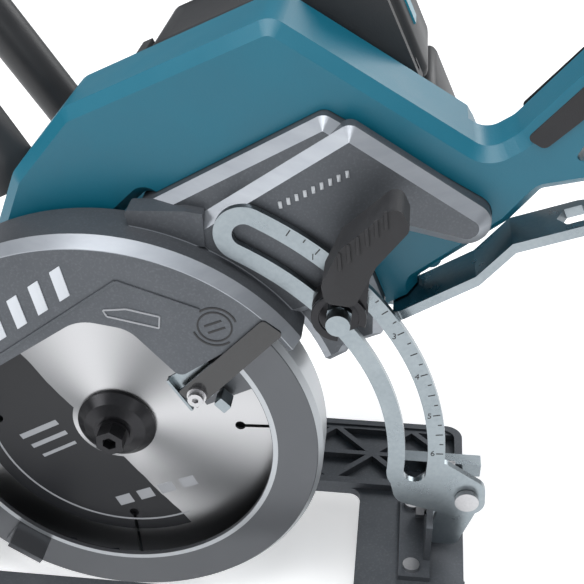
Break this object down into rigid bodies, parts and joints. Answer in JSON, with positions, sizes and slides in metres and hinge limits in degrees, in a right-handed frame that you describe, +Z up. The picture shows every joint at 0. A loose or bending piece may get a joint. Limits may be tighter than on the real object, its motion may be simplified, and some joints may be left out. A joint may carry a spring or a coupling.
{
  "type": "cordless circular saw",
  "caption": "Rear-handle cordless circular saw, blade on the left, with depth guide, swinging lower guard, tilting base and slide-on battery packs.",
  "frame": {"origin": "on the sole, in the blade's plane, under the front depth pivot", "axes": "+X to the rear handle, +Y to the motor, +Z up from the sole"},
  "size_m": [0.4104, 0.185, 0.3116],
  "materials": {
    "magnesium": "satin dark grey paint on cast magnesium",
    "zinc": "bright zinc plate",
    "guard_grey": "smooth mid grey paint",
    "blade_steel": "ground steel with a dark coating",
    "black_steel": "black oxide",
    "steel": "plain steel",
    "laminations": "varnished laminations and windings",
    "teal_plastic": "fine textured glass-filled nylon",
    "black_plastic": "fine textured black plastic",
    "grip_rubber": "soft moulded rubber",
    "brass": "bright contact blades",
    "lens": "clear lens",
    "release_teal": "smooth moulded button"
  },
  "bodies": {
    "base": {"base_plate": "magnesium", "base_screws": "steel", "front_bracket": "magnesium", "rear_bracket": "magnesium", "stop_bar": "zinc"},
    "bevel_carriage": {"front_carriage": "zinc", "rear_carriage": "zinc", "depth_pivot_pin": "steel", "guide_pin": "steel", "clamp_bolts": "steel"},
    "front_bevel_lever": {"front_bevel_lever": "steel"},
    "rear_bevel_lever": {"rear_bevel_lever": "steel"},
    "depth_guide": {"depth_guide": "zinc"},
    "saw_head": {"blade_case": "magnesium", "case_screws": "steel", "deflector_plate": "black_plastic", "deflector_bracket": "zinc", "deflector_screw": "steel", "guard_spring": "steel", "gear_housing": "magnesium", "bearing_plate": "magnesium", "spindle_bearings": "steel", "rotor_bearings": "steel", "stator": "laminations", "motor_housing": "teal_plastic", "motor_cover": "black_plastic", "shell_left": "teal_plastic", "shell_right": "teal_plastic", "shell_screws": "steel", "grip_rubber": "grip_rubber", "switch_body": "black_plastic", "led_lens": "lens", "controller": "black_plastic", "front_handle": "black_plastic", "battery_dock": "black_plastic", "terminal_blades": "brass", "depth_bolt": "steel"},
    "blade_shaft": {"saw_blade": "blade_steel", "inner_flange": "black_steel", "outer_flange": "black_steel", "arbor_bolt": "black_steel", "spindle": "steel", "drive_gear": "steel"},
    "rotor": {"rotor_core": "laminations", "rotor_shaft": "steel", "fan": "black_plastic"},
    "lower_guard": {"lower_guard": "guard_grey", "guard_lever": "guard_grey"},
    "depth_lever": {"depth_lever": "black_steel", "lever_grip": "grip_rubber", "depth_nut": "zinc"},
    "trigger": {"trigger": "black_plastic"},
    "lock_button": {"lock_button": "black_plastic"},
    "shaft_lock": {"shaft_lock": "black_plastic"},
    "wrench": {"hex_wrench": "zinc"},
    "battery_lower": {"battery_lower": "black_plastic"},
    "release_lower": {"release_lower": "release_teal"},
    "battery_upper": {"battery_upper": "black_plastic"},
    "release_upper": {"release_upper": "release_teal"}
  },
  "joints": [
    {"name": "bevel_tilt", "type": "hinge", "parent": "base", "child": "bevel_carriage", "pos_m": [0, 0, 0], "axis": [1, 0, 0], "range_deg": [0, 53]},
    {"name": "depth_swing", "type": "hinge", "parent": "bevel_carriage", "child": "saw_head", "pos_m": [0, 0.02, 0.0265], "axis": [0, -1, 0], "range_deg": [-25.09, 11.01]},
    {"name": "guide_swing", "type": "hinge", "parent": "bevel_carriage", "child": "depth_guide", "pos_m": [0.2664, -0.0035, 0.046], "axis": [0, -1, 0], "range_deg": [-5, 11.4]},
    {"name": "blade_spin", "type": "hinge", "parent": "saw_head", "child": "blade_shaft", "pos_m": [0.10143, 0, 0.074], "axis": [0, -1, 0], "continuous": true},
    {"name": "rotor_spin", "type": "hinge", "parent": "saw_head", "child": "rotor", "pos_m": [0.11355, 0.04, 0.11889], "axis": [0, -1, 0], "continuous": true},
    {"name": "guard_swing", "type": "hinge", "parent": "saw_head", "child": "lower_guard", "pos_m": [0.10143, 0, 0.074], "axis": [0, -1, 0], "range_deg": [0, 155], "stiffness_Nm_per_rad": 0.12, "springref_deg": -68.75},
    {"name": "depth_lever_turn", "type": "hinge", "parent": "saw_head", "child": "depth_lever", "pos_m": [0.20488, -0.01, 0.15303], "axis": [0, -1, 0], "range_deg": [-10, 60]},
    {"name": "trigger_pull", "type": "slide", "parent": "saw_head", "child": "trigger", "axis": [-0.7508, 0, 0.6605], "range_m": [0, 0.006], "stiffness_N_per_m": 900},
    {"name": "lock_press", "type": "slide", "parent": "saw_head", "child": "lock_button", "axis": [0, 1, 0], "range_m": [-0.003, 0.003], "stiffness_N_per_m": 600},
    {"name": "shaft_lock_press", "type": "slide", "parent": "saw_head", "child": "shaft_lock", "axis": [0, -1, 0], "range_m": [0, 0.004], "stiffness_N_per_m": 600},
    {"name": "wrench_drop", "type": "slide", "parent": "saw_head", "child": "wrench", "axis": [0.4241, 0, -0.9056], "range_m": [0, 0.012]},
    {"name": "battery_lower_slide", "type": "slide", "parent": "saw_head", "child": "battery_lower", "axis": [0.9056, 0, 0.4241], "range_m": [0, 0.12]},
    {"name": "release_lower_press", "type": "slide", "parent": "battery_lower", "child": "release_lower", "axis": [-0.9056, 0, -0.4241], "range_m": [0, 0.0025], "stiffness_N_per_m": 600},
    {"name": "battery_upper_slide", "type": "slide", "parent": "saw_head", "child": "battery_upper", "axis": [0.9056, 0, 0.4241], "range_m": [0, 0.12]},
    {"name": "release_upper_press", "type": "slide", "parent": "battery_upper", "child": "release_upper", "axis": [-0.9056, 0, -0.4241], "range_m": [0, 0.0025], "stiffness_N_per_m": 600},
    {"name": "front_bevel_lever_turn", "type": "hinge", "parent": "bevel_carriage", "child": "front_bevel_lever", "pos_m": [-0.0236, 0.04985, 0.02324], "axis": [1, 0, 0], "range_deg": [0, 60]},
    {"name": "rear_bevel_lever_turn", "type": "hinge", "parent": "bevel_carriage", "child": "rear_bevel_lever", "pos_m": [0.26, 0.01966, 0.01377], "axis": [1, 0, 0], "range_deg": [0, 60]}
  ],
  "couplings": [
    {"joint": "guide_swing", "follows": "depth_swing", "ratio": -0.45},
    {"joint": "rotor_spin", "follows": "blade_spin", "ratio": -5.2}
  ]
}
